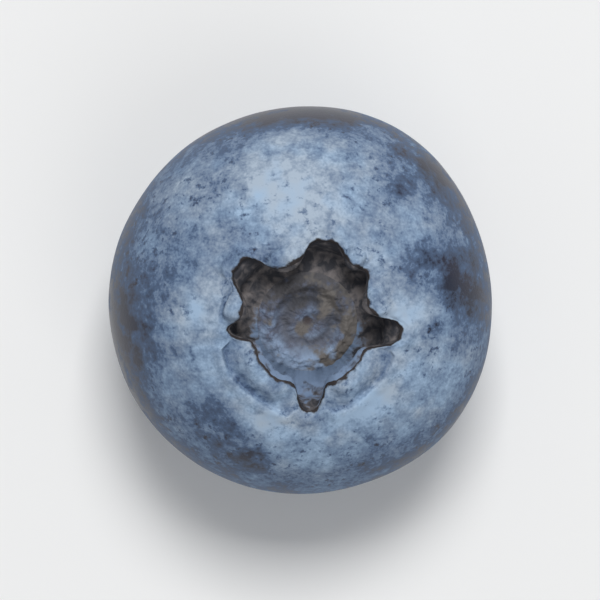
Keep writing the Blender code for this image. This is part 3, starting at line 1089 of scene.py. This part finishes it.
@dataclass(frozen=True)
class Blueberry:
    """The whole fruit: its three sub-assemblies, how it grew, and its finishes."""

    wall: FruitWall = FruitWall()
    stem_end: StemEnd = StemEnd()
    segments: int = 396

    def build(self) -> bpy.types.Object:
        """Build the fine skin and dress it.

        Returns:
            The piece, which rides on its body and stands for the frame's node.
        """
        mesh = self.sheet()
        for finish in (BloomedSkin(), DriedCalyx(), WaxyDisc(), CorkyScar()):
            mesh.materials.append(finish.material())
        fruit = bpy.data.objects.new("berry_fruit", mesh)
        bpy.context.scene.collection.objects.link(fruit)
        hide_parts(NODE)
        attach(fruit, BODY)
        return fruit

    def sheet(self) -> bpy.types.Mesh:
        """Build the closed sheet of meridians.

        Returns:
            The mesh, laid in the frame's box, with the values that the finishes read.
        """
        crown = Crown(self.wall)
        growth = Growth(self.wall, crown)
        angles = [FULL_TURN * number / self.segments for number in range(self.segments)]
        below = self.stem_end.meridian() + self.wall.meridian(self.stem_end.ring_outer, crown.foot_radius)
        lines = [below + crown.rim(angle)[1:] + crown.bowl() for angle in angles]
        places = [place for line in lines for place in line]
        points = [growth.grown(place, angle) for line, angle in zip(lines, angles) for place in line]
        shifts = [growth.bloom_and_shade_shift(place, point) for place, point in zip(places, points)]
        points = self.laid_in_frame(points)

        rows = len(lines[0])
        faces, tissues = [], []
        for column in range(self.segments):
            here, there = column * rows, (column + 1) % self.segments * rows
            for row in range(rows - 1):
                faces.append((here + row, there + row, there + row + 1, here + row + 1))
                tissues.append(lines[0][row + 1].tissue)
        faces.append([column * rows for column in reversed(range(self.segments))])
        faces.append([column * rows + rows - 1 for column in range(self.segments)])
        tissues += [Tissue.STEM_SCAR, Tissue.DISC]

        mesh = bpy.data.meshes.new("berry_fruit")
        mesh.from_pydata(points, [], faces)
        mesh.polygons.foreach_set("material_index", tissues)
        mesh.shade_smooth()
        self.paint(mesh, lines, angles, shifts)
        return mesh

    def laid_in_frame(self, points: list[Vector]) -> list[Vector]:
        """Lay the points in the box of the frame's node.

        Args:
            points: the sheet's points.

        Returns:
            The points, scaled and moved so that their box is the node's.
        """
        low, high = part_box(NODE)
        least = [min(point[axis] for point in points) for axis in range(3)]
        most = [max(point[axis] for point in points) for axis in range(3)]
        scales = [(high[axis] - low[axis]) / (most[axis] - least[axis]) for axis in range(3)]
        log.info("the sheet is scaled by %.4f, %.4f, %.4f", *scales)
        return [Vector(low[axis] + (point[axis] - least[axis]) * scales[axis] for axis in range(3))
                for point in points]

    def paint(self, mesh: bpy.types.Mesh, lines: list[list[Place]], angles: list[float],
              shifts: list[float]) -> None:
        """Store the values that the finishes read.

        Args:
            mesh: the sheet.
            lines: its meridians.
            angles: their angles.
            shifts: how much thicker or thinner the bloom is at each point, painted shade and painted light
                included.
        """
        spokes, margins = [], []
        for line, angle in zip(lines, angles):
            steps = [math.dist(before[:2], after[:2]) for before, after in zip(line, line[1:])]
            lengths = [0.0, *accumulate(steps)]
            edge = next(row for row, place in enumerate(line) if place.tissue is Tissue.DRIED_CALYX)
            margins += [(length - lengths[edge]) / MM for length in lengths]
            spokes += [(*on_circle(angle)[:2], place.radius / MM) for place in line]
        mesh.attributes.new(Paint.BLOOM_AND_SHADE.value, "FLOAT", "POINT").data.foreach_set("value", shifts)
        mesh.attributes.new(Paint.MARGIN.value, "FLOAT", "POINT").data.foreach_set("value", margins)
        flat = [number for spoke in spokes for number in spoke]
        mesh.attributes.new(Paint.SPOKE.value, "FLOAT_VECTOR", "POINT").data.foreach_set("vector", flat)


@dataclass(frozen=True)
class Softbox:
    """A soft studio light, placed by direction and distance from the berry."""

    name: str
    azimuth: float
    elevation: float
    distance: float
    width: float
    height: float
    watts: float

    def hang(self) -> None:
        """Hang the light and turn it to the berry."""
        light = bpy.data.lights.new(self.name, "AREA")
        light.shape = "RECTANGLE"
        light.size, light.size_y, light.energy = self.width, self.height, self.watts
        lamp = bpy.data.objects.new(self.name, light)
        away = on_circle(self.azimuth) * math.cos(math.radians(self.elevation))
        away.z = math.sin(math.radians(self.elevation))
        lamp.location = away * self.distance
        lamp.rotation_euler = away.to_track_quat("Z", "Y").to_euler()
        lamp.visible_camera = False
        bpy.context.scene.collection.objects.link(lamp)


@dataclass(frozen=True)
class Studio:
    """The pale floor, the soft light and the camera, which looks straight down as the photograph does."""

    floor_half: float = 2.0
    floor_colour: str = "EEEEED"
    floor_ior: float = 1.5
    floor_roughness: float = 0.95
    sky_colour: str = "F4F6FA"
    sky_strength: float = 0.34
    frame_width: float = 24.0 * MM
    lens: float = 250.0
    lights: tuple[Softbox, ...] = field(default_factory=lambda: (
        Softbox("window", 84.0, 63.0, 0.7, 0.26, 0.24, 3.4),
        Softbox("fill", -60.0, 55.0, 0.8, 0.5, 0.5, 0.9),
    ))

    def set_up(self) -> None:
        """Lay the floor, hang the lights and place the camera."""
        self.floor()
        self.sky()
        for light in self.lights:
            light.hang()
        self.camera()

    def floor(self) -> None:
        """Lay a large sheet of matt white paper under the berry."""
        half = self.floor_half
        corners = [(-half, -half, 0.0), (half, -half, 0.0), (half, half, 0.0), (-half, half, 0.0)]
        mesh = bpy.data.meshes.new("floor")
        mesh.from_pydata(corners, [], [(0, 1, 2, 3)])
        floor = bpy.data.objects.new("floor", mesh)
        material, _, shader = start_material("matt_paper", self.floor_ior)
        shader.inputs["Base Color"].default_value = linear(self.floor_colour)
        shader.inputs["Roughness"].default_value = self.floor_roughness
        mesh.materials.append(material)
        bpy.context.scene.collection.objects.link(floor)

    def sky(self) -> None:
        """Fill the room with even, pale light."""
        world = bpy.data.worlds.new("studio")
        world.use_nodes = True
        background = world.node_tree.nodes["Background"]
        background.inputs["Color"].default_value = linear(self.sky_colour)
        background.inputs["Strength"].default_value = self.sky_strength
        bpy.context.scene.world = world

    def camera(self) -> None:
        """Look straight down at the berry through a long lens."""
        camera = bpy.data.cameras.new("camera")
        camera.lens = self.lens
        camera.clip_start, camera.clip_end = 0.01, 10.0
        low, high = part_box(NODE)
        away = self.frame_width * self.lens / camera.sensor_width
        eye = bpy.data.objects.new("camera", camera)
        eye.location = (0.0, 0.0, (low.z + high.z) / 2.0 + away)
        bpy.context.scene.collection.objects.link(eye)
        bpy.context.scene.camera = eye
        bpy.context.scene.view_settings.view_transform = "Standard"


def main() -> None:
    """Build the berry and the studio, and report each piece."""
    logging.basicConfig(level=logging.INFO, format="%(name)s: %(message)s")
    fruit = Blueberry().build()
    log.info("%s: %d faces on body %s", fruit.name, len(fruit.data.polygons), BODY)
    Studio().set_up()


if __name__ == "__main__":
    main()
